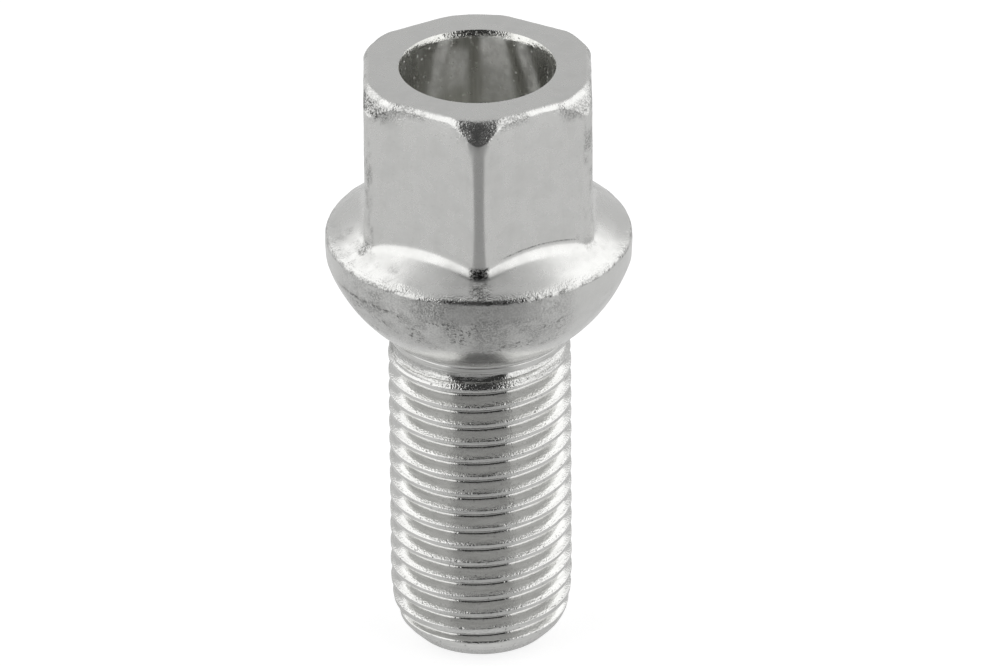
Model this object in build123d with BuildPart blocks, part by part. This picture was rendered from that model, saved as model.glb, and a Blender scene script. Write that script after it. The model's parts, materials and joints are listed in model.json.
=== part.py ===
from build123d import *
from math import cos, radians, sqrt, tan
import os

# Wheel bolt: one forged steel piece that stands on its tip, with its axis on Z and a corner of the
# hexagon towards -Y. Lengths are in millimetres and angles in degrees.

# Lengths from the tip to the top of the head and to the start of the ball seat
bolt_length = 47.9
shank_length = 26.05

# Shank: crest diameter of the thread, with a slightly thinner plain neck under the ball seat
thread_diameter = 13.85
neck_relief = 0.12
neck_height = 0.65
run_out_height = 1.1

# Tip: a flat end, a chamfer and a slow curve where the first crests of the thread are incomplete
tip_chamfer_width = 1.25
tip_chamfer_height = 1.3
lead_depth = 0.45
lead_height = 3.6

# Hexagon for the wheel wrench, with rounded corners and a blend at its foot
side_count = 6
across_flats = 17.0
corner_rounding = 1.0
foot_rounding = 1.1

# Crown: the top edge is rounded all round, and the top corners are cut off by a steep cone
crown_rounding = 0.54
crown_inset = 0.86
crown_angle = 66.0

# Flange: a sloped top, a rounded rim and a narrow land with a little draft
flange_step = 1.94
flange_slope = 33.0
rim_rounding = 0.55
land_height = 1.85
land_draft = 0.1

# Ball seat: its radius is a little more than the radius where it meets the land
seat_margin = 0.67

# Blind hollow in the head, with a steep chamfer at its mouth and a flat end
hollow_diameter = 11.36
hollow_depth = 10.0
mouth_width = 0.19
mouth_height = 0.5

# Radii that follow from those sizes
thread_radius = thread_diameter / 2
neck_radius = thread_radius - neck_relief
lead_radius = thread_radius - lead_depth
tip_radius = lead_radius - tip_chamfer_width
flat_radius = across_flats / 2
half_side_angle = 180 / side_count
corner_radius = (flat_radius - corner_rounding) / cos(radians(half_side_angle)) + corner_rounding
crown_radius = corner_radius - crown_inset
rim_radius = corner_radius + flange_step
land_radius = rim_radius - land_draft
seat_radius = land_radius + seat_margin
hollow_radius = hollow_diameter / 2
mouth_radius = hollow_radius + mouth_width

# Heights that follow from those sizes
lead_end = tip_chamfer_height + lead_height
neck_start = shank_length - neck_height
thread_end = neck_start - run_out_height
seat_centre = shank_length + sqrt(seat_radius**2 - neck_radius**2)
land_start = seat_centre - sqrt(seat_radius**2 - land_radius**2)
rim_start = land_start + land_height
flange_apex = rim_start + rim_radius * tan(radians(flange_slope))
cone_end = bolt_length - (rim_radius - crown_radius) * tan(radians(crown_angle))
hollow_end = bolt_length - hollow_depth

with BuildPart() as wheel_bolt:
    # Shank, ball seat and flange, turned about the axis
    with BuildSketch(Plane.XZ) as section:
        with BuildLine():
            Polyline((0, flange_apex), (0, 0), (tip_radius, 0), (lead_radius, tip_chamfer_height))
            TangentArc((thread_radius, lead_end), (lead_radius, tip_chamfer_height), tangent=(0, -1))
            Polyline(
                (thread_radius, lead_end),
                (thread_radius, thread_end),
                (neck_radius, neck_start),
                (neck_radius, shank_length),
            )
            RadiusArc((neck_radius, shank_length), (land_radius, land_start), -seat_radius)
            Polyline((land_radius, land_start), (rim_radius, rim_start), (0, flange_apex))
        make_face()
        rim = section.vertices().sort_by_distance((rim_radius, rim_start))[0]
        fillet(rim, rim_rounding)
    revolve(axis=Axis.Z)

    # Hexagon, blended into the sloped flange
    with BuildSketch(Plane.XY.offset(rim_start)):
        hexagon = RegularPolygon(flat_radius, side_count, major_radius=False, rotation=half_side_angle)
        fillet(hexagon.vertices(), corner_rounding)
    extrude(amount=bolt_length - rim_start)
    foot = wheel_bolt.edges(Select.NEW)
    fillet(foot, foot_rounding)

    # Crown, rounded along the flats and then cut off at the corners
    top = wheel_bolt.faces().sort_by(Axis.Z)[-1]
    fillet(top.edges(), crown_rounding)
    with BuildSketch(Plane.XZ):
        with BuildLine():
            Polyline((crown_radius, bolt_length), (rim_radius, bolt_length), (rim_radius, cone_end), close=True)
        make_face()
    revolve(axis=Axis.Z, mode=Mode.SUBTRACT)

    # Hollow in the head
    with BuildSketch(Plane.XZ):
        with BuildLine():
            Polyline(
                (0, bolt_length),
                (mouth_radius, bolt_length),
                (hollow_radius, bolt_length - mouth_height),
                (hollow_radius, hollow_end),
                (0, hollow_end),
                close=True,
            )
        make_face()
    revolve(axis=Axis.Z, mode=Mode.SUBTRACT)

wheel_bolt.part.label = "wheel_bolt"

os.makedirs("parts", exist_ok=True)
export_step(wheel_bolt.part, "parts/wheel_bolt.step")
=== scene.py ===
import json
import math
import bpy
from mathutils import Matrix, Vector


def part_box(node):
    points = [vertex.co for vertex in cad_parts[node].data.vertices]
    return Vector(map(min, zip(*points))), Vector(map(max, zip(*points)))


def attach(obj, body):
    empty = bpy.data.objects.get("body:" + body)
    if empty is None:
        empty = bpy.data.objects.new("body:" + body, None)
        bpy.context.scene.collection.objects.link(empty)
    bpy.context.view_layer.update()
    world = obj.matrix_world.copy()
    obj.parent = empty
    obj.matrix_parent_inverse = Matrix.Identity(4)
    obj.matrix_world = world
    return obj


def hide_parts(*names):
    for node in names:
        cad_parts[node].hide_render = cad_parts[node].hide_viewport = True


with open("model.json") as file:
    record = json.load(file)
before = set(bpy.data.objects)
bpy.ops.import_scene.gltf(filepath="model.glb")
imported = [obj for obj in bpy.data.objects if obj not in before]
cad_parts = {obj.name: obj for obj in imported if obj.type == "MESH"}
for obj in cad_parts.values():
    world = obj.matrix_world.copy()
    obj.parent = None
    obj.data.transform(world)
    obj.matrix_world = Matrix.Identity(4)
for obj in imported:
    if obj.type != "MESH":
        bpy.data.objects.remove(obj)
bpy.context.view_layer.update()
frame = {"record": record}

from types import SimpleNamespace

import bmesh
import bpy
import numpy as np
from mathutils import Matrix, Vector

# The wheel bolt of the frame as one finely modelled skin: rolled thread, forged head and zinc finish.
# Lengths are in millimetres until a mesh is made. Angles are in radians, or in degrees where a name
# ends in _deg.

MM = 0.001
TURN = 2 * math.pi

# Sizes from the frame
mounts = {mount["name"]: mount["dims"] for mount in frame["record"]["mounts"]}
BOLT_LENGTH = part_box("wheel_bolt")[1].z / MM
THREAD_RADIUS = mounts["thread"]["r_mm"]
HOLLOW_RADIUS = mounts["head_hollow"]["r_mm"]

# Shank: the blank that the thread is rolled into, with its neck and its chamfered tip
SHANK_LENGTH = 26.05
NECK_RELIEF = 0.12
NECK_HEIGHT = 0.65
RUN_OUT_HEIGHT = 1.1
TIP_CHAMFER_WIDTH = 1.25
TIP_CHAMFER_HEIGHT = 1.3
TIP_BLEND = 0.5
TIP_EDGE = 0.12
LEAD_DEPTH = 0.45
LEAD_HEIGHT = 3.6
NECK_RADIUS = THREAD_RADIUS - NECK_RELIEF
NECK_START = SHANK_LENGTH - NECK_HEIGHT
RUN_OUT_START = NECK_START - RUN_OUT_HEIGHT
LEAD_RADIUS = THREAD_RADIUS - LEAD_DEPTH
LEAD_END = TIP_CHAMFER_HEIGHT + LEAD_HEIGHT
TIP_RADIUS = LEAD_RADIUS - TIP_CHAMFER_WIDTH

# Groove at the thread's run-out with its ragged ledge, and a fine turned line on the neck
RUN_OUT_WALL = 0.14
RUN_OUT_DEPTH = 0.36
RUN_OUT_SLOPE = 0.4
RUN_OUT_LEDGE = 0.22
RUN_OUT_BOTTOM = NECK_START - RUN_OUT_WALL
TURNED_LINE = SHANK_LENGTH - 0.17
TURNED_DEPTH = 0.05

# Thread: a 60 degree profile with narrow crests and roots, right-handed
PITCH = 1.5
CREST_HALF = 0.14
CREST_BLEND = 0.032
ROOT_HALF = 0.09
ROOT_BLEND = 0.09
FLANK_SLOPE = 1 / math.tan(math.radians(30))
THREAD_DEPTH = (PITCH / 2 - CREST_HALF - ROOT_HALF) * FLANK_SLOPE
CREST_AT_FRONT = 20.99
THREAD_START = 0.75
THREAD_FADE_LOW = (0.9, 1.4)
THREAD_FADE_HIGH = (NECK_START - 1.05, NECK_START - 1.5)
THREAD_COLUMNS = 120
LOWER_FLANK_SHARES = (0.93, 0.86, 0.79, 0.72, 0.4)
UPPER_FLANK_SHARES = (0.35, 0.6, 0.72, 0.79, 0.86, 0.93, 1.0)

# Hexagon: its front corner is the first one, and every corner is softer at its top and its foot
FRONT_ANGLE = math.radians(-90.2)
SIDE_COUNT = 6
HALF_SIDE = math.pi / SIDE_COUNT
FLAT_RADIUS = 8.5
CORNER_ROUNDING = 1.0
CORNER_ROUNDINGS = (0.92, 1.25, 1.3, 1.2, 1.3, 1.2)
TOP_ROUNDING = 0.7
TOP_SOFT_DEPTH = 1.3
FOOT_ROUNDING = 0.5
FOOT_SOFT_HEIGHT = 1.6
ROUNDING_REACH = 2.2
CORNER_RADIUS = (FLAT_RADIUS - CORNER_ROUNDING) / math.cos(HALF_SIDE) + CORNER_ROUNDING

# Crown: a rounded top edge, corners cut off by a cone and a slight lean of the two front flats
CROWN_RADIUS = CORNER_RADIUS - 0.86
CROWN_SLOPE = math.tan(math.radians(66))
CROWN_BLEND = 0.4
CROWN_SIDE_SHARP = 0.28
CROWN_BACK_SOFT = 0.12
CROWN_FILLET = 0.49
CROWN_UNEVEN = 0.02
CROWN_INNER = 7.0
LEAN_INSET = 0.3
LEAN_START = 44.2
LEAN_BEND = 0.15

# Flange, land and ball seat
FLANGE_SLOPE = math.radians(33)
FLANGE_STEP = 1.94
FOOT_FILLET = 1.2
FOOT_CORNER_CUT = 0.5
FOOT_GAP = 0.06
FOOT_REACH = FOOT_FILLET / math.tan((math.radians(90) + FLANGE_SLOPE) / 2)
RIM_FILLET = 0.55
LAND_HEIGHT = 1.85
LAND_DRAFT = 0.1
SEAT_MARGIN = 0.67
RIM_RADIUS = CORNER_RADIUS + FLANGE_STEP
LAND_RADIUS = RIM_RADIUS - LAND_DRAFT
SEAT_RADIUS = LAND_RADIUS + SEAT_MARGIN
SEAT_CENTRE = SHANK_LENGTH + math.sqrt(SEAT_RADIUS**2 - NECK_RADIUS**2)
LAND_START = SEAT_CENTRE - math.sqrt(SEAT_RADIUS**2 - LAND_RADIUS**2)
RIM_START = LAND_START + LAND_HEIGHT

# Hollow in the head
MOUTH_RADIUS = HOLLOW_RADIUS + 0.19
MOUTH_HEIGHT = 0.5
MOUTH_LIP = 0.05
HOLLOW_END = BOLT_LENGTH - 10.0
HOLLOW_TURN = 0.3

# Columns of the head's mesh near a corner and on half a flat, and its rows in each stretch
CORNER_SPAN_DEG = 6.0
CORNER_COLUMNS = 11
FLAT_COLUMNS = 18
SEAT_ROWS = 32
SEAT_END_ROWS = 4
LAND_ROWS = 9
RIM_ROWS = 9
FLANGE_ROWS = 7
FOOT_ROWS = 10
HEXAGON_ROWS = 19
CROWN_ROWS = 19
TOP_ROWS = 4
HOLLOW_ROWS = 16
HOLLOW_TURN_ROWS = 4
HOLLOW_END_ROWS = 3

# Height of the rough forged skin on the front of the seat and the land
FORGED_SKIN_Z = 32.0

# Radii beyond which the skin is near the hexagon's corners, on the flange and on the rim or land
CORNER_SKIN = 8.8
FLANGE_SKIN = 9.0
RIM_SKIN = 11.0

# Colours of the finish
BRIGHT_ZINC = (0.745, 0.745, 0.73)
DULL_ZINC = (0.7, 0.7, 0.685)
HOLLOW_ZINC = (0.74, 0.74, 0.71)
STREAK_GREY = (0.56, 0.56, 0.53)
ROLLED_GREY = (0.5, 0.5, 0.48)
# Black of dirt, which also paints the shade in crevices, the thread's roots and the sides of the hollow
DIRT_AND_PAINTED_SHADE_BLACK = (0.06, 0.06, 0.058)
# White of a pale film that paints the bright columns and glints in the hollow
PAINTED_HIGHLIGHT_FILM_WHITE = (0.97, 0.97, 0.93)

# Sockets of a Mix node that takes two colours
MIX_INPUTS = (6, 7)
MIX_OUTPUT = 2

# Numbers that scramble the place of a cell of noise into its level
CELL_FACTORS = (73856093, 19349663, 83492791)
SEED_FACTOR = 2654435761
MIX_FACTOR = 1274126177
MIX_LIMIT = 2147483647
NOISE_LEVELS = 65536


def noise_field(points, size, seed):
    """Smooth value noise between -1 and 1, with lumps of about the given size, at an array of points."""
    cells = points / np.asarray(size, dtype=float)
    base = np.floor(cells).astype(np.int64)
    part = cells - base
    part = part * part * (3 - 2 * part)
    total = np.zeros(points.shape[:-1])
    for corner in np.ndindex(2, 2, 2):
        cell = base + np.array(corner)
        mixed = np.bitwise_xor.reduce(cell * CELL_FACTORS, axis=-1) ^ (seed * SEED_FACTOR)
        mixed = (mixed ^ (mixed >> 13)) * MIX_FACTOR % MIX_LIMIT
        weight = np.prod(np.where(np.array(corner) == 1, part, 1 - part), axis=-1)
        total += weight * ((mixed % NOISE_LEVELS) / (NOISE_LEVELS / 2 - 0.5) - 1)
    return total


def smooth_step(low, high, value):
    """Zero at low, one at high and a smooth ramp between."""
    part = np.clip((value - low) / (high - low), 0, 1)
    return part * part * (3 - 2 * part)


def band(value, middle, half_width, blend):
    """One within half a width of the middle, with a smooth fall to zero over the blend."""
    return 1 - smooth_step(half_width, half_width + blend, np.abs(value - middle))


def sector(side, middle_deg, half_deg, blend_deg):
    """A band of angles round the bolt."""
    return band(side, math.radians(middle_deg), math.radians(half_deg), math.radians(blend_deg))


def between(value, low, high):
    """Whether a value lies between two limits."""
    return (value > low) & (value < high)


def rounded_ramp(value, width):
    """The larger of zero and the value, with the bend at zero rounded over the given half width."""
    bend = (value + width) ** 2 / (4 * width)
    return np.where(value < -width, 0, np.where(value > width, value, bend))


def within_half_turn(angle):
    """The same angle between minus and plus half a turn."""
    return np.mod(angle + math.pi, TURN) - math.pi


def from_front(angle):
    """Angle from the front of the bolt, within half a turn and positive to the right."""
    return within_half_turn(angle - FRONT_ANGLE)


def ring_points(radius, angle, z):
    """Cylinder coordinates to an array of points, rows by columns by three."""
    radius, angle, z = np.broadcast_arrays(radius, angle, z)
    return np.stack([radius * np.cos(angle), radius * np.sin(angle), z], axis=-1)


def blank_radius(z):
    """Radius of the crests at a height: chamfer, slow lead curve, full size and run-out groove."""
    chamfer = TIP_RADIUS + (LEAD_RADIUS - TIP_RADIUS) * z / TIP_CHAMFER_HEIGHT
    left = np.clip((LEAD_END - z) / (LEAD_END - TIP_CHAMFER_HEIGHT), 0, 1)
    lead = THREAD_RADIUS - (THREAD_RADIUS - LEAD_RADIUS) * left**2
    tip = lead - rounded_ramp(lead - chamfer, TIP_BLEND)
    groove = NECK_RADIUS - RUN_OUT_DEPTH + RUN_OUT_SLOPE * (RUN_OUT_BOTTOM - z)
    wall = NECK_RADIUS - RUN_OUT_DEPTH * np.clip((NECK_START - z) / RUN_OUT_WALL, 0, 1)
    return np.minimum(tip, np.where(z > RUN_OUT_BOTTOM, wall, groove))


def crest_radius(z):
    """Radius of the crests at a height, without the run-out groove."""
    return blank_radius(np.minimum(z, RUN_OUT_START))


def crest_width(z):
    """Half width of a crest at a height: the lead at the tip cuts the first crests to a wider flat."""
    cut = np.clip(THREAD_RADIUS - crest_radius(z), 0, None)
    return np.minimum(CREST_HALF + cut / FLANK_SLOPE, PITCH / 2 - ROOT_HALF)


def groove_depth(axial):
    """Depth of the thread's groove at a distance along the axis from the crest's middle."""
    flank = FLANK_SLOPE * rounded_ramp(np.abs(axial) - CREST_HALF, CREST_BLEND)
    root_start = PITCH / 2 - ROOT_HALF
    return flank - FLANK_SLOPE * rounded_ramp(np.abs(axial) - root_start, ROOT_BLEND)


def thread_rows(middle):
    """Distances along the axis from a crest's middle to the rows of its turn, from root to root."""
    width = crest_width(np.clip(middle, 0, NECK_START))
    flank = PITCH / 2 - width
    edge = np.minimum(CREST_BLEND, flank * 0.25)
    rows = [-width - flank * share for share in LOWER_FLANK_SHARES]
    rows += [-width + edge * share for share in (-1, 0, 1)]
    rows += [0 * width]
    rows += [width + edge * share for share in (-1, -0.35, 0.35, 1)]
    rows += [width + flank * share for share in UPPER_FLANK_SHARES]
    return np.stack(rows, axis=1)


def crest_nicks(plain):
    """Depth of the small nicks and the longer wear along the crests."""
    small = np.clip(noise_field(plain, 0.45, seed=3) - 0.3, 0, 1)
    longer = np.clip(noise_field(plain, 1.4, seed=4), 0, 1)
    return 0.05 * small + 0.02 * longer


def run_out_ledge(plain, axial, z):
    """Depth of the ragged ledge that the last turn leaves in the run-out groove."""
    above_root = np.where(axial > 0, axial - PITCH / 2, axial + PITCH / 2)
    ledge = smooth_step(-0.26, -0.13, above_root) * (1 - smooth_step(0.3, 0.7, above_root))
    ledge = ledge * smooth_step(RUN_OUT_START, RUN_OUT_START + 0.1, z) * (z < RUN_OUT_BOTTOM)
    return RUN_OUT_LEDGE * ledge * np.clip(0.85 + 0.4 * noise_field(plain, 0.7, seed=7), 0.4, 1.2)


def shank_grid():
    """Points of the threaded shank in rows that follow the helix and are held between its two ends."""
    angle = np.linspace(0, TURN, THREAD_COLUMNS + 1)[None, :]
    climb = PITCH * (angle - FRONT_ANGLE) / TURN
    spare = 3
    turns = np.arange(-spare, int(NECK_START / PITCH) + spare)
    middle = (CREST_AT_FRONT % PITCH + turns * PITCH)[:, None] + climb
    axial = thread_rows(middle)
    z = (middle[:, None, :] + axial).reshape(-1, THREAD_COLUMNS + 1)
    z = np.clip(z, THREAD_START, NECK_START)
    axial = axial.reshape(z.shape)
    plain = ring_points(THREAD_RADIUS, angle, z)

    fade = smooth_step(*THREAD_FADE_LOW, z) * smooth_step(*THREAD_FADE_HIGH, z)
    groove = groove_depth(axial) + 0.008 * noise_field(plain, 1.0, seed=6)
    top = blank_radius(z) - crest_nicks(plain) * fade - run_out_ledge(plain, axial, z)
    return ring_points(np.minimum(THREAD_RADIUS - groove * fade, top), angle, z)


def tip_grid(angle):
    """Points from the thread's first ring over the chamfer and the edge of the tip to near its centre."""
    rows = [(float(blank_radius(z)), z) for z in np.linspace(THREAD_START, TIP_EDGE, 5)]
    rows += [(blank_radius(0.05), 0.05), (TIP_RADIUS - 0.04, 0.012), (TIP_RADIUS - TIP_EDGE, 0.0)]
    rows += [(TIP_RADIUS * share, 0.0) for share in (0.9, 0.6, 0.25)]
    radius, z = np.array(rows, dtype=float).T
    return ring_points(radius[:, None], angle[None, :], z[:, None])


def head_columns():
    """Angles of the head's columns, each one's angle to its corner and the rounding of that corner."""
    near = np.linspace(0, CORNER_SPAN_DEG, CORNER_COLUMNS)
    far = np.linspace(CORNER_SPAN_DEG, math.degrees(HALF_SIDE), FLAT_COLUMNS)[1:]
    half = np.concatenate([near, far])
    columns_deg = np.concatenate([-half[:0:-1], half[:-1]])
    corners_deg = -90 + 360 / SIDE_COUNT * np.arange(SIDE_COUNT)
    angle = np.radians((corners_deg[:, None] + columns_deg[None, :]).ravel())
    offset = np.radians(np.tile(columns_deg, SIDE_COUNT))
    return angle, offset, np.repeat(CORNER_ROUNDINGS, len(columns_deg))


def wall_radius(offset, rounding):
    """Radius of the hexagon's wall at an angle to its corner, for a rounding of that corner."""
    centre = (FLAT_RADIUS - rounding) / math.cos(HALF_SIDE)
    touch = np.arctan2(rounding * math.sin(HALF_SIDE), centre + rounding * math.cos(HALF_SIDE))
    inside = np.maximum(rounding**2 - (centre * np.sin(offset)) ** 2, 0)
    on_arc = centre * np.cos(offset) + np.sqrt(inside)
    on_flat = FLAT_RADIUS / np.cos(HALF_SIDE - np.abs(offset))
    return np.where(np.abs(offset) < touch, on_arc, on_flat)


def wall_depth(radius, offset, rounding):
    """Distance of a point inside the hexagon from its wall."""
    centre = (FLAT_RADIUS - rounding) / math.cos(HALF_SIDE)
    along = radius * np.cos(offset) - centre
    across = radius * np.abs(np.sin(offset))
    by_arc = rounding - np.hypot(along, across)
    by_flat = FLAT_RADIUS - radius * np.cos(HALF_SIDE - np.abs(offset))
    return np.where(across < along * math.tan(HALF_SIDE), by_arc, by_flat)


def height_rounding(z):
    """What a corner's rounding gains at a height: it is softer towards the crown and the foot."""
    from_top = np.exp(-(BOLT_LENGTH - TOP_SOFT_DEPTH - z) / ROUNDING_REACH)
    from_foot = np.exp(-(z - RIM_START - FOOT_SOFT_HEIGHT) / ROUNDING_REACH)
    return TOP_ROUNDING * np.minimum(from_top, 1) + FOOT_ROUNDING * np.minimum(from_foot, 1)


def cone_height(radius):
    """Height of the flange's sloped top."""
    return RIM_START + (RIM_RADIUS - radius) * math.tan(FLANGE_SLOPE)


def arc_rows(centre_r, centre_z, radius, start_deg, end_deg, count):
    """Rows along an arc in the section, its first and last points included."""
    turn = np.radians(np.linspace(start_deg, end_deg, count))[:, None]
    return centre_r + radius * np.cos(turn), centre_z + radius * np.sin(turn)


def line_rows(start, end, count):
    """Rows along a straight line in the section, without its two end points."""
    part = (np.arange(count) + 1.0)[:, None] / (count + 1)
    return start[0] + (end[0] - start[0]) * part, start[1] + (end[1] - start[1]) * part


def neck_rows():
    """Plain neck with a fine turned line near its upper end."""
    section = [
        (0.0, NECK_START + 0.02),
        (0.0, NECK_START + 0.2),
        (0.0, TURNED_LINE - 0.09),
        (0.1 * TURNED_DEPTH, TURNED_LINE - 0.05),
        (TURNED_DEPTH, TURNED_LINE),
        (0.4 * TURNED_DEPTH, TURNED_LINE + 0.03),
        (0.0, TURNED_LINE + 0.09),
    ]
    depth, z = np.array(section).T
    return NECK_RADIUS - depth[:, None], z[:, None]


def seat_rows():
    """Neck, ball seat, land and rim."""
    low_deg = math.degrees(math.asin(NECK_RADIUS / SEAT_RADIUS)) - 90
    high_deg = math.degrees(math.asin(LAND_RADIUS / SEAT_RADIUS)) - 90
    ball = arc_rows(0.0, SEAT_CENTRE, SEAT_RADIUS, low_deg, high_deg - 2, SEAT_ROWS)
    ball_end = arc_rows(0.0, SEAT_CENTRE, SEAT_RADIUS, high_deg - 1.4, high_deg, SEAT_END_ROWS)

    draft = math.atan2(LAND_DRAFT, LAND_HEIGHT)
    reach = RIM_FILLET * math.tan((math.radians(90) - draft - FLANGE_SLOPE) / 2)
    land_low = (LAND_RADIUS, LAND_START)
    land_end = (RIM_RADIUS - reach * math.sin(draft), RIM_START - reach * math.cos(draft))
    land = line_rows(land_low, land_end, LAND_ROWS)
    land_start = line_rows(land_low, (land[0][0, 0], land[1][0, 0]), 1)

    centre_r = land_end[0] - RIM_FILLET * math.cos(draft)
    centre_z = land_end[1] + RIM_FILLET * math.sin(draft)
    end_deg = 90 - math.degrees(FLANGE_SLOPE)
    rim = arc_rows(centre_r, centre_z, RIM_FILLET, -math.degrees(draft), end_deg, RIM_ROWS)
    return [neck_rows(), ball, ball_end, land_start, land, rim]


def foot_rows(offset, rounding):
    """Blend from the flange's sloped top into the hexagon's wall, for every column."""
    foot_z = cone_height(FLAT_RADIUS)
    radius = wall_radius(offset, rounding + height_rounding(foot_z))
    at_corner = band(offset, 0.0, 0.05, 0.1) * (rounding > CORNER_ROUNDING)
    fillet = FOOT_FILLET - FOOT_CORNER_CUT * at_corner
    centre_z = cone_height(radius) + FOOT_REACH * fillet / FOOT_FILLET
    start_deg = 270 - math.degrees(FLANGE_SLOPE)
    return arc_rows(radius + fillet, centre_z, fillet, start_deg, 180, FOOT_ROWS)


def crown_height(radius, angle, offset, rounding):
    """Height of the head's top over its rounded edge and its cut corners."""
    side = from_front(angle)
    fillet = CROWN_FILLET + CROWN_UNEVEN * np.cos(side)
    depth = np.clip(wall_depth(radius, offset, rounding), 0, fillet)
    edge = fillet - np.sqrt(fillet**2 - (fillet - depth) ** 2)
    beside_back = sector(np.abs(side), 120, 15, 25)
    at_back = sector(np.abs(side), 180, 20, 20)
    blend = CROWN_BLEND + CROWN_BACK_SOFT * at_back - CROWN_SIDE_SHARP * beside_back
    cut = CROWN_SLOPE * rounded_ramp(radius - CROWN_RADIUS, blend)
    return BOLT_LENGTH - np.hypot(edge, cut)


def crown_rows(angle, offset, rounding, wall_start):
    """Hexagon's wall from its foot blend to the crown, the crown and the flat top."""
    top_rounding = rounding + TOP_ROUNDING
    edge_radius = wall_radius(offset, top_rounding)
    edge_z = crown_height(edge_radius, angle, offset, top_rounding)
    wall_z = np.vstack([wall_start, line_rows((0.0, wall_start), (0.0, edge_z), HEXAGON_ROWS)[1]])
    wall = (wall_radius(offset, rounding + height_rounding(wall_z)), wall_z)
    inward = np.linspace(0, 1, CROWN_ROWS)[:, None] ** 2
    crown_r = edge_radius + (CROWN_INNER - edge_radius) * inward
    crown = (crown_r, crown_height(crown_r, angle, offset, top_rounding))
    top_end = (MOUTH_RADIUS + MOUTH_LIP, BOLT_LENGTH)
    top = line_rows((CROWN_INNER, BOLT_LENGTH), top_end, TOP_ROWS)
    return [wall, crown, top]


def hollow_rows():
    """Chamfered mouth and wall of the hollow down to its flat end."""
    wall_top = MOUTH_HEIGHT + 0.05
    section = [
        (MOUTH_RADIUS + MOUTH_LIP, 0.0),
        (MOUTH_RADIUS + 0.01, 0.008),
        (MOUTH_RADIUS - 0.015, 0.05),
        (MOUTH_RADIUS - 0.07, 0.18),
        (MOUTH_RADIUS - 0.13, 0.34),
        (HOLLOW_RADIUS + 0.015, 0.47),
        (HOLLOW_RADIUS, wall_top),
    ]
    radius, depth = np.array(section).T
    mouth = (radius[:, None], BOLT_LENGTH - depth[:, None])
    turn_z = HOLLOW_END + HOLLOW_TURN
    turn_r = HOLLOW_RADIUS - HOLLOW_TURN
    wall_start = (HOLLOW_RADIUS, BOLT_LENGTH - wall_top)
    wall = line_rows(wall_start, (HOLLOW_RADIUS, turn_z), HOLLOW_ROWS)
    turn = arc_rows(turn_r, turn_z, HOLLOW_TURN, 0, -90, HOLLOW_TURN_ROWS)
    end = line_rows((turn_r, HOLLOW_END), (0.0, HOLLOW_END), HOLLOW_END_ROWS)
    return [mouth, wall, turn, end]


def head_grid():
    """Points of the head from the neck over seat, rim, flange, hexagon and crown into the hollow."""
    angle, offset, rounding = head_columns()
    rows = seat_rows()
    rim_r, rim_z = rows[-1]
    foot_r, foot_z = foot_rows(offset, rounding)
    rows.append(line_rows((rim_r[-1], rim_z[-1]), (foot_r[0], foot_z[0]), FLANGE_ROWS))
    rows.append((foot_r, foot_z))
    rows += crown_rows(angle, offset, rounding, foot_z[-1] + FOOT_GAP)
    rows += hollow_rows()

    columns = len(angle)
    radius = np.concatenate([np.broadcast_to(r, (len(r), columns)) for r, z in rows])
    z = np.concatenate([np.broadcast_to(z, (len(r), columns)) for r, z in rows])
    return ring_points(radius - head_wear(radius, angle, z, offset), angle[None, :], z)


def head_wear(radius, angle, z, offset):
    """How far the forged head's uneven skin lies inside its true form."""
    at = SimpleNamespace(radius=radius, z=z, side=from_front(angle)[None, :], offset=offset[None, :])
    at.place = ring_points(radius, angle[None, :], z)
    return rim_wear(at) + seat_wear(at) + flat_wear(at) + crown_wear(at) + hollow_wear(at)


def rim_wear(at):
    """Lumps and nicks of the flange's rim."""
    rim = smooth_step(RIM_RADIUS - 0.7, RIM_RADIUS - 0.3, at.radius)
    rim = rim * band(at.z, RIM_START - 0.05, 0.25, 0.35)
    lumps = 0.03 + 0.03 * noise_field(at.place, 0.8, seed=11)
    nicks = 0.01 * np.clip(noise_field(at.place, 0.35, seed=12), 0, 1)
    return rim * (lumps + nicks)


def seat_wear(at):
    """Forging creases where the seat meets the land, and the seat's lumpy skin."""
    left = sector(at.side, -46, 9, 14)
    right = 0.4 * sector(at.side, 52, 18, 12)
    crease = np.maximum(left, right) * (0.7 + 0.5 * noise_field(at.place, 0.7, seed=13))
    crease = crease * band(at.z, LAND_START + 0.03, 0.03, 0.14) * (at.radius > RIM_SKIN)
    skin = smooth_step(SHANK_LENGTH + 2.45, SHANK_LENGTH + 4.45, at.z)
    skin = skin * (1 - smooth_step(RIM_START - 0.2, RIM_START + 0.2, at.z))
    return 0.09 * crease + skin * (0.02 + 0.02 * noise_field(at.place, 1.3, seed=14))


def flat_wear(at):
    """Slight waves of the hexagon's flats and nicks along its corners, except the front one."""
    flats = smooth_step(HOLLOW_RADIUS + 0.5, HOLLOW_RADIUS + 1.0, at.radius)
    flats = flats * smooth_step(RIM_START + 2.0, RIM_START + 3.5, at.z)
    flats = flats * (1 - smooth_step(BOLT_LENGTH - 2.4, BOLT_LENGTH - 1.4, at.z))
    waves = 0.006 + 0.006 * noise_field(at.place, (2.2, 2.2, 4.0), seed=15)
    corners = band(at.offset, 0.0, 0.05, 0.06) * smooth_step(0.5, 0.9, np.abs(at.side))
    nicks = 0.08 * np.clip(noise_field(at.place, (0.5, 0.5, 0.8), seed=16) - 0.1, 0, 1)
    return flats * (waves + corners * nicks)


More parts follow.
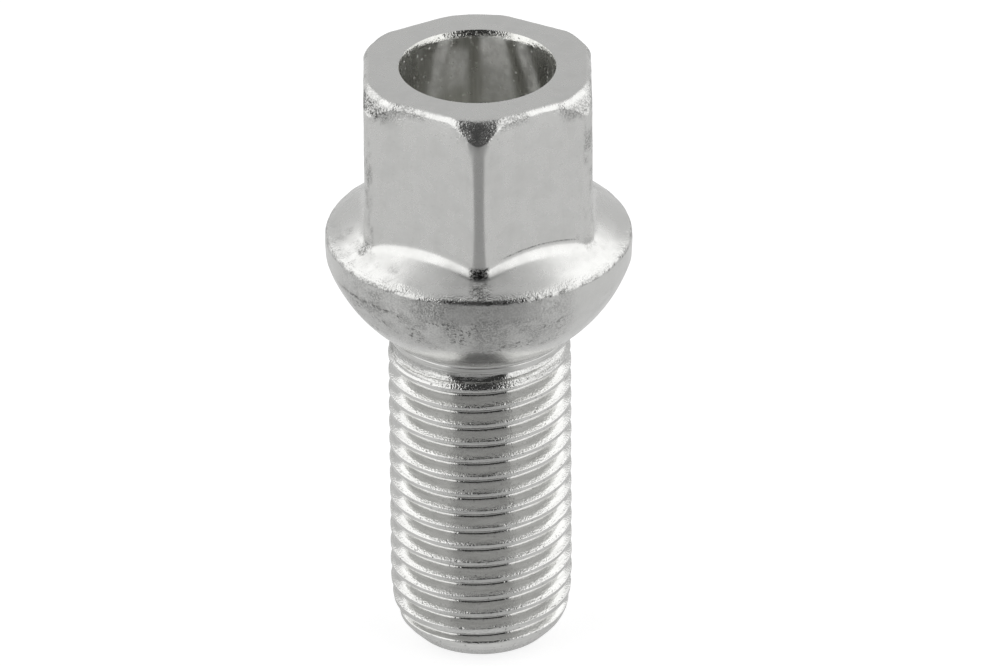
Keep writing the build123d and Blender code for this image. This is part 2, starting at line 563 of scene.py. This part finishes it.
def crown_wear(at):
    """Uneven top edge, the lean of the two front flats below it and the worn foot of each cut corner."""
    top_edge = smooth_step(BOLT_LENGTH - 1.5, BOLT_LENGTH - 0.7, at.z) * smooth_step(7.8, 8.4, at.radius)
    uneven = top_edge * (0.03 + 0.03 * noise_field(at.place, 0.6, seed=17))

    rise = np.clip((at.z - LEAN_START) / (BOLT_LENGTH - LEAN_START), 0, 1)
    lean = LEAN_INSET * rounded_ramp(rise - LEAN_BEND, LEAN_BEND)
    lean = lean * smooth_step(CROWN_INNER, CROWN_INNER + 0.7, at.radius)
    lean = lean * smooth_step(0.14, 0.3, np.abs(at.offset)) * band(at.side, 0.0, 0.8, 0.2)

    cut_foot = band(at.z, BOLT_LENGTH - 2.3, 0.9, 0.6) * band(at.offset, 0.0, 0.1, 0.08)
    cut_foot = cut_foot * (at.radius > CORNER_SKIN)
    worn = 0.04 * cut_foot * np.clip(0.5 + noise_field(at.place, 0.45, seed=19), 0, 1.5)
    return uneven + lean + worn


def hollow_wear(at):
    """Long shallow waves of the hollow's wall."""
    wall = (at.radius < MOUTH_RADIUS) * smooth_step(HOLLOW_END, HOLLOW_END + 2, at.z)
    wall = wall * (1 - smooth_step(BOLT_LENGTH - 0.6, BOLT_LENGTH - 0.3, at.z))
    return 0.03 * wall * noise_field(at.place, (1.1, 1.1, 12.0), seed=18)


def grid_faces(first, rows, columns, closed):
    """Quads of a grid of points numbered row by row, with its columns joined into a ring if closed."""
    across = columns if closed else columns - 1
    faces = []
    for row in range(rows - 1):
        for column in range(across):
            here = first + row * columns + column
            beside = first + row * columns + (column + 1) % columns
            faces.append((here, beside, beside + columns, here + columns))
    return faces


def zip_rings(lower, lower_angle, upper, upper_angle):
    """Triangles between two rings of points with different numbers of columns."""
    faces = []
    i = j = 0
    while i < len(lower) or j < len(upper):
        next_i = lower_angle[i + 1] if i + 1 < len(lower) else lower_angle[0] + TURN
        next_j = upper_angle[j + 1] if j + 1 < len(upper) else upper_angle[0] + TURN
        low_here = lower[i % len(lower)]
        up_here = upper[j % len(upper)]
        if j >= len(upper) or (i < len(lower) and next_i <= next_j):
            faces.append((low_here, lower[(i + 1) % len(lower)], up_here))
            i += 1
        else:
            faces.append((low_here, upper[(j + 1) % len(upper)], up_here))
            j += 1
    return faces


def fan(ring, centre, upward):
    """Triangles from a ring to its centre point."""
    pairs = zip(ring, ring[1:] + ring[:1])
    return [(a, b, centre) if upward else (b, a, centre) for a, b in pairs]


class Patchwork:
    """Points and faces of the bolt's skin while its grids are put together."""

    def __init__(self):
        self.blocks = []
        self.faces = []
        self.count = 0

    def add_points(self, points):
        """Adds points and gives their numbers."""
        first = self.count
        self.blocks.append(points.reshape(-1, 3))
        self.count += len(self.blocks[-1])
        return list(range(first, self.count))

    def add_grid(self, grid, closed, flip):
        """Adds a grid with its quads, and gives the numbers of the points in its first and last row."""
        rows, columns = grid.shape[:2]
        numbers = self.add_points(grid)
        quads = grid_faces(numbers[0], rows, columns, closed)
        self.faces += [quad[::-1] for quad in quads] if flip else quads
        return numbers[:columns], numbers[-columns:]


def joined_grids():
    """Points and faces of shank, tip and head, zipped together at the neck and closed at both ends."""
    shank_angle = np.linspace(0, TURN, THREAD_COLUMNS + 1)[:-1]
    head_angle = np.mod(head_columns()[0], TURN)
    patchwork = Patchwork()
    patchwork.add_grid(shank_grid(), closed=False, flip=False)
    tip_end = patchwork.add_grid(tip_grid(shank_angle), closed=True, flip=True)[1]
    head_start, head_end = patchwork.add_grid(head_grid(), closed=True, flip=False)

    lower = patchwork.add_points(ring_points(NECK_RADIUS, shank_angle, NECK_START))
    start = int(np.argmin(head_angle))
    upper = head_start[start:] + head_start[:start]
    patchwork.faces += zip_rings(lower, shank_angle, upper, np.roll(head_angle, -start))

    centres = np.array([[0.0, 0.0, 0.0], [0.0, 0.0, HOLLOW_END]])
    tip_centre, hollow_centre = patchwork.add_points(centres)
    patchwork.faces += fan(tip_end, tip_centre, upward=False)
    patchwork.faces += fan(head_end, hollow_centre, upward=True)
    return np.concatenate(patchwork.blocks), patchwork.faces


def weld(mesh):
    """Joins points that fall together, takes out faces without area and turns all faces outward."""
    same_point = 2e-7
    no_length = 1e-8
    work = bmesh.new()
    work.from_mesh(mesh)
    bmesh.ops.remove_doubles(work, verts=work.verts, dist=same_point)
    bmesh.ops.dissolve_degenerate(work, edges=work.edges, dist=no_length)
    bmesh.ops.recalc_face_normals(work, faces=work.faces)
    work.to_mesh(mesh)
    work.free()


def bolt_mesh():
    """The bolt's skin as one closed mesh in metres, with the masks of its finish."""
    place, faces = joined_grids()
    mesh = bpy.data.meshes.new("wheel_bolt_skin")
    mesh.from_pydata((place * MM).tolist(), [], faces)
    for name, values in finish_masks(place).items():
        layer = mesh.attributes.new(name, "FLOAT", "POINT")
        layer.data.foreach_set("value", np.clip(values, 0, 1).astype(np.float32))
    weld(mesh)
    mesh.polygons.foreach_set("use_smooth", np.ones(len(mesh.polygons), dtype=bool))
    return mesh


def finish_masks(place):
    """Shares of the finish at each point, by the name of the mask."""
    at = SimpleNamespace(place=place, z=place[:, 2], radius=np.hypot(place[:, 0], place[:, 1]))
    at.side = from_front(np.arctan2(place[:, 1], place[:, 0]))
    at.patchy = noise_field(place, 1.1, seed=21) + 0.5 * noise_field(place, 0.4, seed=22)
    at.patchy = smooth_step(-0.3, 0.5, at.patchy)
    at.ragged = smooth_step(-0.4, 0.2, noise_field(place, 0.35, seed=23))
    add_shank_areas(at)
    add_head_areas(at)
    add_seat_areas(at)
    add_hollow_areas(at)
    return {
        "grain": grain_share(at),
        "dirt_and_painted_shade": dirt_and_painted_shade_share(at),
        "pits": pit_share(at),
        "streak": streak_share(at),
        "rolled": np.maximum(0.4 * at.on_thread, at.turned),
        "film": at.film,
        "dust": dust_share(at),
        "flaky": at.flaky,
        "hollow": 1.0 * at.in_hollow,
        "rough": roughness(at),
    }


def add_shank_areas(at):
    """Areas of the shank: thread, crests, roots, run-out, turned neck and tip."""
    at.on_thread = at.z < NECK_START
    at.thread_front = at.on_thread * band(at.side, 0.0, 0.7, 0.25)
    at.crest = at.on_thread * (1 - smooth_step(0.09, 0.14, crest_radius(at.z) - at.radius))
    # The roots and the run-out groove below are darkened with painted shade
    root_radius = THREAD_RADIUS - THREAD_DEPTH
    at.root = at.on_thread * (1 - smooth_step(0.05, 0.16, at.radius - root_radius))
    at.run_out = band(at.z, NECK_START - 0.6, 0.45, 0.15) * (at.radius < 7)
    at.turned = band(at.z, NECK_START + 0.2, 1.2, 0.6) * (at.radius < 8.5)
    at.tip = band(at.z, 0.4, 0.4, 0.3) * (at.radius > TIP_RADIUS - 0.2)


def add_head_areas(at):
    """Areas of the hexagon: crown, top edge, corners, and the dirt and painted shade at its foot."""
    at.head = at.z > RIM_START + 0.8
    at.at_front = band(at.side, 0.0, 0.3, 0.2)
    to_corner = np.abs(np.mod(at.side + HALF_SIDE, 2 * HALF_SIDE) - HALF_SIDE)
    turned_away = np.abs(at.side)
    at_sides = smooth_step(0.4, 0.8, turned_away) * (1 - smooth_step(1.45, 1.75, turned_away))

    at.crown = at.head * smooth_step(BOLT_LENGTH - 1.9, BOLT_LENGTH - 1.3, at.z)
    at.crown = at.crown * smooth_step(8.2, 8.6, at.radius)
    at.side_crown = band(at.z, BOLT_LENGTH - 0.9, 0.35, 0.3) * band(to_corner, 0.0, 0.16, 0.08)
    at.side_crown = at.side_crown * (at.radius > 8) * at_sides
    at.top_edge = at.head * band(at.z, BOLT_LENGTH - 0.4, 0.3, 0.08) * (at.radius > 7.5)
    at.edges = at.head * band(to_corner, 0.0, 0.05, 0.03) * between(at.radius, CORNER_SKIN, 10)
    at.edges = at.edges * at_sides

    # Dirt and painted shade at the foot of every corner, the shade strongest at the front one; more at
    # the left front corner, and a painted dark line at the foot of the right front flat
    at.foot_block = band(at.z, RIM_START + 1.55, 0.3, 0.2) * band(to_corner, 0.0, 0.06, 0.03)
    at.foot_block = at.foot_block * between(at.radius, FLANGE_SKIN, 10.3)
    at.left_block = band(at.z, RIM_START + 1.15, 0.35, 0.2) * between(at.radius, FLANGE_SKIN, 10.4)
    at.left_block = at.left_block * band(at.side, math.radians(-60), 0.03, 0.03)
    above_foot = at.z - cone_height(at.radius) - FOOT_REACH
    at.foot_line = band(above_foot, 0.0, 0.03, 0.03) * (at.radius > 8)
    at.foot_line = at.foot_line * band(at.side, math.radians(32), 0.3, 0.1)


def add_seat_areas(at):
    """Areas of the flange, its rim and the ball seat."""
    at.rim = band(at.z, RIM_START + 0.1, 0.22, 0.15) * (at.radius > RIM_RADIUS - 0.6)
    # Painted shadow under the rim's overhang, ragged and stronger at the front
    at.under_rim = band(at.z, RIM_START, 0.1, 0.12) * (at.radius > RIM_SKIN)
    at.under_rim = at.under_rim * (0.25 + 0.75 * at.ragged) * (0.6 + 0.3 * sector(at.side, 0, 26, 16))
    at.patch = band(at.z, RIM_START + 0.55, 0.35, 0.25) * (at.radius > FLANGE_SKIN)
    at.patch = at.patch * band(at.radius * at.side, 0.1, 0.5, 0.5)
    at.flange_left = band(at.z, RIM_START + 0.8, 0.4, 0.3) * (at.radius > 9.7)
    at.flange_left = at.flange_left * at.patchy * sector(at.side, -58, 20, 20)

    at.seat = band(at.z, FORGED_SKIN_Z, 2.3, 1.3) * sector(at.side, -13, 38, 20)
    at.seat = at.seat * (1 - smooth_step(RIM_START - 0.15, RIM_START, at.z))
    # Painted shade with some dirt in the forging crease where the seat meets the land
    at.crease = band(at.z, LAND_START, 0.06, 0.1) * (at.radius > RIM_SKIN)
    at.crease = at.crease * band(at.side, math.radians(-46), 0.17, 0.25)
    at.flaky = smooth_step(-0.35, 0.35, noise_field(at.place, (1.6, 1.6, 0.9), seed=25))
    at.flaky = at.seat * at.flaky * (1 - 0.6 * smooth_step(LAND_START - 0.1, LAND_START + 0.3, at.z))


def add_hollow_areas(at):
    """Areas of the hollow: its mouth, its wall and the pale columns on that wall, a film that paints its
    bright reflections.
    """
    at.in_hollow = at.head & (at.radius < MOUTH_RADIUS + 0.02)
    at.mouth = band(at.z, BOLT_LENGTH - 0.25, 0.22, 0.08)
    at.mouth = at.mouth * between(at.radius, HOLLOW_RADIUS - 0.1, MOUTH_RADIUS + 0.02)
    at.at_back = band(np.abs(at.side), math.pi, 0.4, 0.1)
    at.from_back = within_half_turn(math.pi - at.side)

    # The pale columns are painted highlights, set round the wall's far side and widening with depth
    depth = BOLT_LENGTH - at.z
    fanned = at.from_back / (1 + 0.1 * depth) + 0.03 * noise_field(at.place, (0.9, 0.9, 1.5), seed=26)
    blotch = noise_field(at.place, (0.7, 0.7, 1.2), seed=24)
    pale = np.maximum.reduce([
        band(fanned, 0.2, 0.1, 0.11) * (1.05 + 0.3 * blotch),
        band(fanned, -0.42, 0.02, 0.13) * (0.85 + 0.4 * blotch),
        band(fanned, -0.22, 0.05, 0.11) * band(depth, 3.2, 1.0, 1.2) * (0.85 + 0.3 * blotch),
        band(fanned, 0.6, 0.03, 0.12) * (0.8 + 0.5 * blotch),
    ])
    at.pale = np.clip(pale, 0, 1)
    on_wall = at.in_hollow & between(at.radius, HOLLOW_RADIUS - 0.2, HOLLOW_RADIUS + 0.04)
    at.film = on_wall * at.pale


def grain_share(at):
    """How grainy the skin is: most on crests, crown and rim."""
    return np.maximum.reduce([
        at.crown * (0.6 + 0.4 * at.patchy),
        at.top_edge * (0.4 + 0.6 * at.patchy),
        at.edges * (0.5 + 0.5 * at.patchy),
        at.rim * (0.5 + 0.5 * at.ragged),
        at.seat * at.patchy,
        at.patch,
        0.28 * at.run_out,
        at.mouth * (0.4 + 0.5 * at.at_back),
        0.9 * at.crest,
        0.4 * at.tip,
        0.15 * at.on_thread + 0.2 * at.thread_front * at.patchy,
        np.full(len(at.z), 0.025),
    ])


def dirt_and_painted_shade_share(at):
    """How dark the crevices and rubbed places are: dirt, and painted shade at the hexagon's foot, under
    the rim, in the seat's crease, the run-out groove and the thread's roots, and on the hollow's sides.
    """
    return np.maximum.reduce([
        # Painted shade, with some dirt, at the foot of the hexagon's corners and of its right front flat
        at.foot_block * (0.25 + 0.75 * at.at_front),
        0.7 * at.left_block,
        0.75 * at.foot_line,
        # Painted shadow under the rim
        at.under_rim,
        # Painted shade with some dirt in the crease
        at.crease * (0.4 + 0.5 * at.ragged),
        at.seat * (0.22 + 0.26 * at.patchy),
        0.75 * at.patch * at.ragged,
        at.side_crown * (0.5 + 0.3 * at.patchy) * np.where(at.side < 0, 1.6, 1.0),
        0.3 * at.flange_left * at.ragged,
        0.5 * at.edges * at.patchy * at.ragged,
        0.5 * at.top_edge * at.patchy,
        0.35 * at.mouth * at.at_back,
        # Painted shade on the sides of the hollow's wall, about 75 degrees either way from its far side
        0.5 * at.in_hollow * band(np.abs(at.from_back), 1.3, 0.15, 0.4),
        # Painted shade in the run-out groove and in the thread's roots
        0.3 * at.run_out,
        0.15 * at.root,
    ])


def pit_share(at):
    """How deep the scattered pits are."""
    return np.maximum.reduce([
        0.5 * at.in_hollow,
        0.5 * at.seat,
        0.4 * at.crown,
        0.55 * at.crest,
        0.3 * at.thread_front,
        0.1 * at.head,
    ])


def streak_share(at):
    """How streaky the hollow's wall and, faintly, the hexagon's flats are."""
    flats = at.head * smooth_step(8.3, 8.45, at.radius) * (at.z < BOLT_LENGTH - 0.9)
    return np.maximum(at.in_hollow * (1 - 0.8 * at.pale), 0.1 * flats)


def dust_share(at):
    """Pale dust on the front of the crown, and a line of it in the run-out groove."""
    on_crown = 0.3 * at.crown * at.patchy * band(at.side, 0.0, 0.1, 0.06)
    return np.maximum(on_crown, 0.4 * band(at.z, NECK_START - 0.84, 0.02, 0.06) * at.on_thread)


def roughness(at):
    """Roughness of the skin: bright on the thread, satin on the head."""
    rough = np.select([at.on_thread, at.in_hollow, at.head], [0.06, 0.3, 0.28], 0.22)
    rough = rough + 0.1 * at.seat + 0.15 * at.film - 0.05 * at.crown + 0.2 * at.tip
    return np.where(at.mouth > 0.5, 0.1, rough)


def maths(tree, operation, first, second=None):
    """A math node on sockets or numbers, and its output."""
    made = tree.nodes.new("ShaderNodeMath")
    made.operation = operation
    for slot, value in zip(made.inputs, (first, second)):
        if isinstance(value, (int, float)):
            slot.default_value = value
        elif value is not None:
            tree.links.new(value, slot)
    return made.outputs[0]


def map_range(tree, value, low, high, to_low, to_high):
    """A clamped linear change of range of a socket, and its output."""
    made = tree.nodes.new("ShaderNodeMapRange")
    tree.links.new(value, made.inputs["Value"])
    limits = {"From Min": low, "From Max": high, "To Min": to_low, "To Max": to_high}
    for name, number in limits.items():
        made.inputs[name].default_value = number
    return made.outputs["Result"]


def ramp(tree, stops, factor):
    """A grey colour ramp with the given places and levels, driven by a socket."""
    made = tree.nodes.new("ShaderNodeValToRGB")
    elements = made.color_ramp.elements
    for place, level in stops[1:-1]:
        elements.new(place)
    for element, (place, level) in zip(elements, stops):
        element.position = place
        element.color = (level, level, level, 1)
    tree.links.new(factor, made.inputs[0])
    return made.outputs[0]


def mix_colours(tree, share, first, second):
    """A mix by a share of two colours, each one a socket or a fixed colour."""
    made = tree.nodes.new("ShaderNodeMix")
    made.data_type = "RGBA"
    tree.links.new(share, made.inputs["Factor"])
    for slot, value in zip(MIX_INPUTS, (first, second)):
        if isinstance(value, tuple):
            made.inputs[slot].default_value = (*value, 1)
        else:
            tree.links.new(value, made.inputs[slot])
    return made.outputs[MIX_OUTPUT]


def grey(level):
    """A grey colour."""
    return (level, level, level)


def mask(tree, name):
    """A mask that is stored on the mesh."""
    made = tree.nodes.new("ShaderNodeAttribute")
    made.attribute_name = name
    return made.outputs["Fac"]


def masked(tree, pattern, name):
    """A pattern where a mask that is stored on the mesh lets it show."""
    return maths(tree, "MULTIPLY", pattern, mask(tree, name))


def in_millimetres(tree, stretch=(1, 1, 1)):
    """Places in the bolt's own space in millimetres, with a stretch along each axis."""
    place = tree.nodes.new("ShaderNodeTexCoord")
    mapping = tree.nodes.new("ShaderNodeMapping")
    mapping.inputs["Scale"].default_value = [share / MM for share in stretch]
    tree.links.new(place.outputs["Object"], mapping.inputs["Vector"])
    return mapping.outputs["Vector"]


def noise(tree, scale, detail, stretch=(1, 1, 1)):
    """Noise in the bolt's own space, with a scale per millimetre and a stretch along each axis."""
    made = tree.nodes.new("ShaderNodeTexNoise")
    made.inputs["Scale"].default_value = scale
    made.inputs["Detail"].default_value = detail
    made.inputs["Roughness"].default_value = 0.6
    tree.links.new(in_millimetres(tree, stretch), made.inputs["Vector"])
    return made.outputs["Fac"]


def scattered_pits(tree, scale):
    """Depth from zero to one of small round pits, in some of the cells of a number per millimetre."""
    made = tree.nodes.new("ShaderNodeTexVoronoi")
    made.inputs["Scale"].default_value = scale
    tree.links.new(in_millimetres(tree), made.inputs["Vector"])
    chosen = map_range(tree, made.outputs["Color"], 0.56, 0.6, 0, 1)
    inside = map_range(tree, made.outputs["Distance"], 0.12, 0.3, 1, 0)
    return maths(tree, "MULTIPLY", chosen, inside)


def bump(tree, height, strength, depth, under=None):
    """A bump of the given depth in millimetres, laid over another one if there is one."""
    made = tree.nodes.new("ShaderNodeBump")
    made.inputs["Distance"].default_value = depth * MM
    tree.links.new(strength, made.inputs["Strength"])
    tree.links.new(height, made.inputs["Height"])
    if under is not None:
        tree.links.new(under, made.inputs["Normal"])
    return made.outputs["Normal"]


def zinc_patterns(tree):
    """The patterns that the zinc's colour and relief share."""
    return SimpleNamespace(
        speckle=noise(tree, 7.0, 1),
        clouds=noise(tree, 0.7, 4),
        flakes=noise(tree, 3.6, 2),
        streaks=noise(tree, 1.6, 3, (1, 1, 0.09)),
        roll_marks=noise(tree, 1.0, 2, (0.4, 0.4, 9)),
        pits=masked(tree, scattered_pits(tree, 2.6), "pits"),
    )


def zinc_film(tree):
    """Share of the mottled pale film that paints highlights, and of the pale specks that paint glints in
    the hollow.
    """
    mottle = map_range(tree, noise(tree, 1.5, 3), 0.4, 0.58, 0.6, 1)
    # Pale specks that paint glints on the hollow's wall
    specks = masked(tree, scattered_pits(tree, 2.2), "hollow")
    return maths(tree, "MAXIMUM", masked(tree, mottle, "film"), maths(tree, "MULTIPLY", specks, 0.9))


def zinc_dark(tree, pattern):
    """Share of dark dirt and painted shade, flakes and pits."""
    dirt_and_painted_shade = masked(tree, map_range(tree, pattern.speckle, 0.4, 0.58, 0.3, 1), "dirt_and_painted_shade")
    flakes = masked(tree, map_range(tree, pattern.flakes, 0.52, 0.6, 0, 0.75), "flaky")
    outside_hollow = map_range(tree, mask(tree, "hollow"), 0, 1, 0.5, 0)
    pits = maths(tree, "MULTIPLY", pattern.pits, outside_hollow)
    return maths(tree, "MAXIMUM", maths(tree, "MAXIMUM", dirt_and_painted_shade, flakes), pits)


def zinc_colour(tree, pattern, film):
    """Silver with duller clouds, streaks, roll marks, dirt and painted shade, and a pale film that paints
    highlights.
    """
    dull = map_range(tree, pattern.clouds, 0.45, 0.72, 0, 1)
    colour = mix_colours(tree, dull, BRIGHT_ZINC, DULL_ZINC)
    in_hollow = maths(tree, "MULTIPLY", mask(tree, "hollow"), 0.75)
    colour = mix_colours(tree, in_hollow, colour, HOLLOW_ZINC)
    streaks = masked(tree, map_range(tree, pattern.streaks, 0.4, 0.62, 0, 0.7), "streak")
    colour = mix_colours(tree, streaks, colour, STREAK_GREY)
    rolled = masked(tree, map_range(tree, pattern.roll_marks, 0.45, 0.75, 0, 1), "rolled")
    colour = mix_colours(tree, rolled, colour, ROLLED_GREY)
    colour = mix_colours(tree, zinc_dark(tree, pattern), colour, DIRT_AND_PAINTED_SHADE_BLACK)
    return mix_colours(tree, film, colour, PAINTED_HIGHLIGHT_FILM_WHITE)


def zinc_relief(tree, pattern):
    """Bumps of the streaks, roll marks, flakes, pits and grain, laid over each other."""
    relief = bump(tree, pattern.streaks, mask(tree, "streak"), 0.04)
    relief = bump(tree, pattern.roll_marks, mask(tree, "rolled"), 0.02, relief)
    relief = bump(tree, pattern.flakes, mask(tree, "flaky"), 0.09, relief)
    above_pits = maths(tree, "SUBTRACT", 1.0, pattern.pits)
    relief = bump(tree, above_pits, mask(tree, "pits"), 0.09, relief)
    return bump(tree, pattern.speckle, mask(tree, "grain"), 0.045, relief)


def zinc_material():
    """Bright zinc plate on steel, with a speckled forged skin, painted shade in its darker crevices and
    painted highlights in its hollow.
    """
    material = bpy.data.materials.new("zinc_plate")
    material.use_nodes = True
    tree = material.node_tree
    shader = tree.nodes["Principled BSDF"]
    pattern = zinc_patterns(tree)
    film = zinc_film(tree)
    tree.links.new(zinc_colour(tree, pattern, film), shader.inputs["Base Color"])

    dust = masked(tree, map_range(tree, pattern.speckle, 0.45, 0.6, 0, 1), "dust")
    matt = maths(tree, "MAXIMUM", film, dust)
    tree.links.new(map_range(tree, matt, 0, 1, 1, 0.05), shader.inputs["Metallic"])
    uneven = map_range(tree, pattern.clouds, 0.3, 0.7, -0.05, 0.06)
    tree.links.new(maths(tree, "ADD", mask(tree, "rough"), uneven), shader.inputs["Roughness"])
    tree.links.new(zinc_relief(tree, pattern), shader.inputs["Normal"])
    return material


def studio_world():
    """Two wide soft lights beside the bolt, with a gap between them that is dark on the camera's side."""
    world = bpy.data.worlds.new("studio")
    bpy.context.scene.world = world
    world.use_nodes = True
    tree = world.node_tree
    direction = tree.nodes.new("ShaderNodeTexCoord")
    axes = tree.nodes.new("ShaderNodeSeparateXYZ")
    tree.links.new(direction.outputs["Generated"], axes.inputs[0])
    sideways = maths(tree, "ABSOLUTE", axes.outputs["X"])
    backward = map_range(tree, axes.outputs["Y"], -1, 1, 0, 1)

    # Half width of the gap and the light in it, from the camera's side to the far side
    gap_stops = [(0, 0.6), (0.09, 0.6), (0.17, 0.47), (0.5, 0.26), (1, 0.26)]
    in_gap_stops = [(0, 0.05), (0.33, 0.05), (0.48, 0.55), (0.95, 0.59), (1, 0.59)]
    beyond_gap = maths(tree, "SUBTRACT", sideways, ramp(tree, gap_stops, backward))
    in_gap = ramp(tree, in_gap_stops, backward)

    # Light beyond the gap's edge, which is dimmer behind the bolt
    lit_stops = [(0, 0.72), (0.19, 0.48), (0.23, 1.35), (0.6, 1.35), (1, 1.2)]
    closer_in_front = map_range(tree, axes.outputs["Y"], -0.35, -0.1, 0.2, 0)
    lit = ramp(tree, lit_stops, maths(tree, "ADD", beyond_gap, closer_in_front))
    behind = map_range(tree, axes.outputs["Y"], 0.69, 0.73, 0, 1)
    lit = mix_colours(tree, behind, lit, grey(0.62))

    outside = map_range(tree, beyond_gap, -0.012, 0.012, 0, 1)
    studio = mix_colours(tree, outside, in_gap, lit)
    rays = tree.nodes.new("ShaderNodeLightPath")
    shown = mix_colours(tree, rays.outputs["Is Camera Ray"], studio, grey(1))
    tree.links.new(shown, tree.nodes["Background"].inputs["Color"])


def floor_in_mirrors(tree):
    """Level of the floor in the metal: pale, with a sector in front that darkens with distance."""
    place = tree.nodes.new("ShaderNodeTexCoord")
    axes = tree.nodes.new("ShaderNodeSeparateXYZ")
    tree.links.new(place.outputs["Object"], axes.inputs[0])
    sideways = maths(tree, "ABSOLUTE", axes.outputs["X"])
    forward = maths(tree, "MULTIPLY", axes.outputs["Y"], -1)
    beyond_front = maths(tree, "SUBTRACT", sideways, maths(tree, "MULTIPLY", forward, 0.8))
    edge = 3 * MM
    outside = map_range(tree, beyond_front, -edge, edge, 0, 1)
    ramp_length = 100 * MM
    stops = [(0, 0.44), (0.08, 0.44), (0.11, 0.18), (0.3, 0.14), (0.65, 0.02), (1, 0.02)]
    front = ramp(tree, stops, maths(tree, "MULTIPLY", forward, 1 / ramp_length))
    return mix_colours(tree, outside, front, grey(0.365))


def floor_material():
    """Pale floor that takes shadows and shows white to the camera and a duller pale in the metal."""
    material = bpy.data.materials.new("pale_floor")
    material.use_nodes = True
    tree = material.node_tree
    tree.nodes.clear()
    diffuse = tree.nodes.new("ShaderNodeBsdfDiffuse")
    diffuse.inputs["Color"].default_value = (*grey(0.42), 1)
    glow = tree.nodes.new("ShaderNodeEmission")
    both = tree.nodes.new("ShaderNodeAddShader")
    output = tree.nodes.new("ShaderNodeOutputMaterial")
    tree.links.new(diffuse.outputs[0], both.inputs[0])
    tree.links.new(glow.outputs[0], both.inputs[1])
    tree.links.new(both.outputs[0], output.inputs["Surface"])

    rays = tree.nodes.new("ShaderNodeLightPath").outputs
    mirror_ray = maths(tree, "MAXIMUM", rays["Is Glossy Ray"], rays["Is Transmission Ray"])
    to_mirror = maths(tree, "MULTIPLY", mirror_ray, floor_in_mirrors(tree))
    to_camera = maths(tree, "MULTIPLY", rays["Is Camera Ray"], 0.76)
    tree.links.new(maths(tree, "ADD", to_camera, to_mirror), glow.inputs["Strength"])
    return material


def floor():
    """A square pale floor under the bolt's tip."""
    half = 600 * MM
    corners = [(-half, -half, 0), (half, -half, 0), (half, half, 0), (-half, half, 0)]
    mesh = bpy.data.meshes.new("floor")
    mesh.from_pydata(corners, [], [(0, 1, 2, 3)])
    plane = bpy.data.objects.new("floor", mesh)
    bpy.context.scene.collection.objects.link(plane)
    plane.data.materials.append(floor_material())


def camera():
    """A long lens at the photograph's angle."""
    target = Vector((0, 0, 24.0))
    distance = 750.0
    rise = math.radians(29.268)
    roll = math.radians(0.465)
    lens_pixels = 9930.0
    frame_pixels = 1000.0
    aim_right = 1.547
    aim_up = 0.995

    outward = Vector((math.cos(FRONT_ANGLE), math.sin(FRONT_ANGLE), 0))
    back = outward * math.cos(rise) + Vector((0, 0, math.sin(rise)))
    right = Vector((-outward.y, outward.x, 0))
    up = back.cross(right)
    place = target + back * distance
    aim = target + right * aim_right + up * aim_up
    back = (place - aim).normalized()
    right = up.cross(back).normalized()
    up = back.cross(right)
    rolled_up = up * math.cos(roll) + right * math.sin(roll)
    rolled_right = rolled_up.cross(back)

    data = bpy.data.cameras.new("camera")
    data.sensor_width = 36.0
    data.lens = data.sensor_width * lens_pixels / frame_pixels
    made = bpy.data.objects.new("camera", data)
    turn = Matrix((rolled_right, rolled_up, back)).transposed().to_4x4()
    made.matrix_world = Matrix.Translation(place * MM) @ turn
    bpy.context.scene.collection.objects.link(made)
    bpy.context.scene.camera = made


skin = bpy.data.objects.new("wheel_bolt_skin", bolt_mesh())
bpy.context.scene.collection.objects.link(skin)
skin.data.materials.append(zinc_material())
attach(skin, "root")
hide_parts("wheel_bolt")

studio_world()
floor()
camera()
bpy.context.scene.view_settings.view_transform = "Standard"
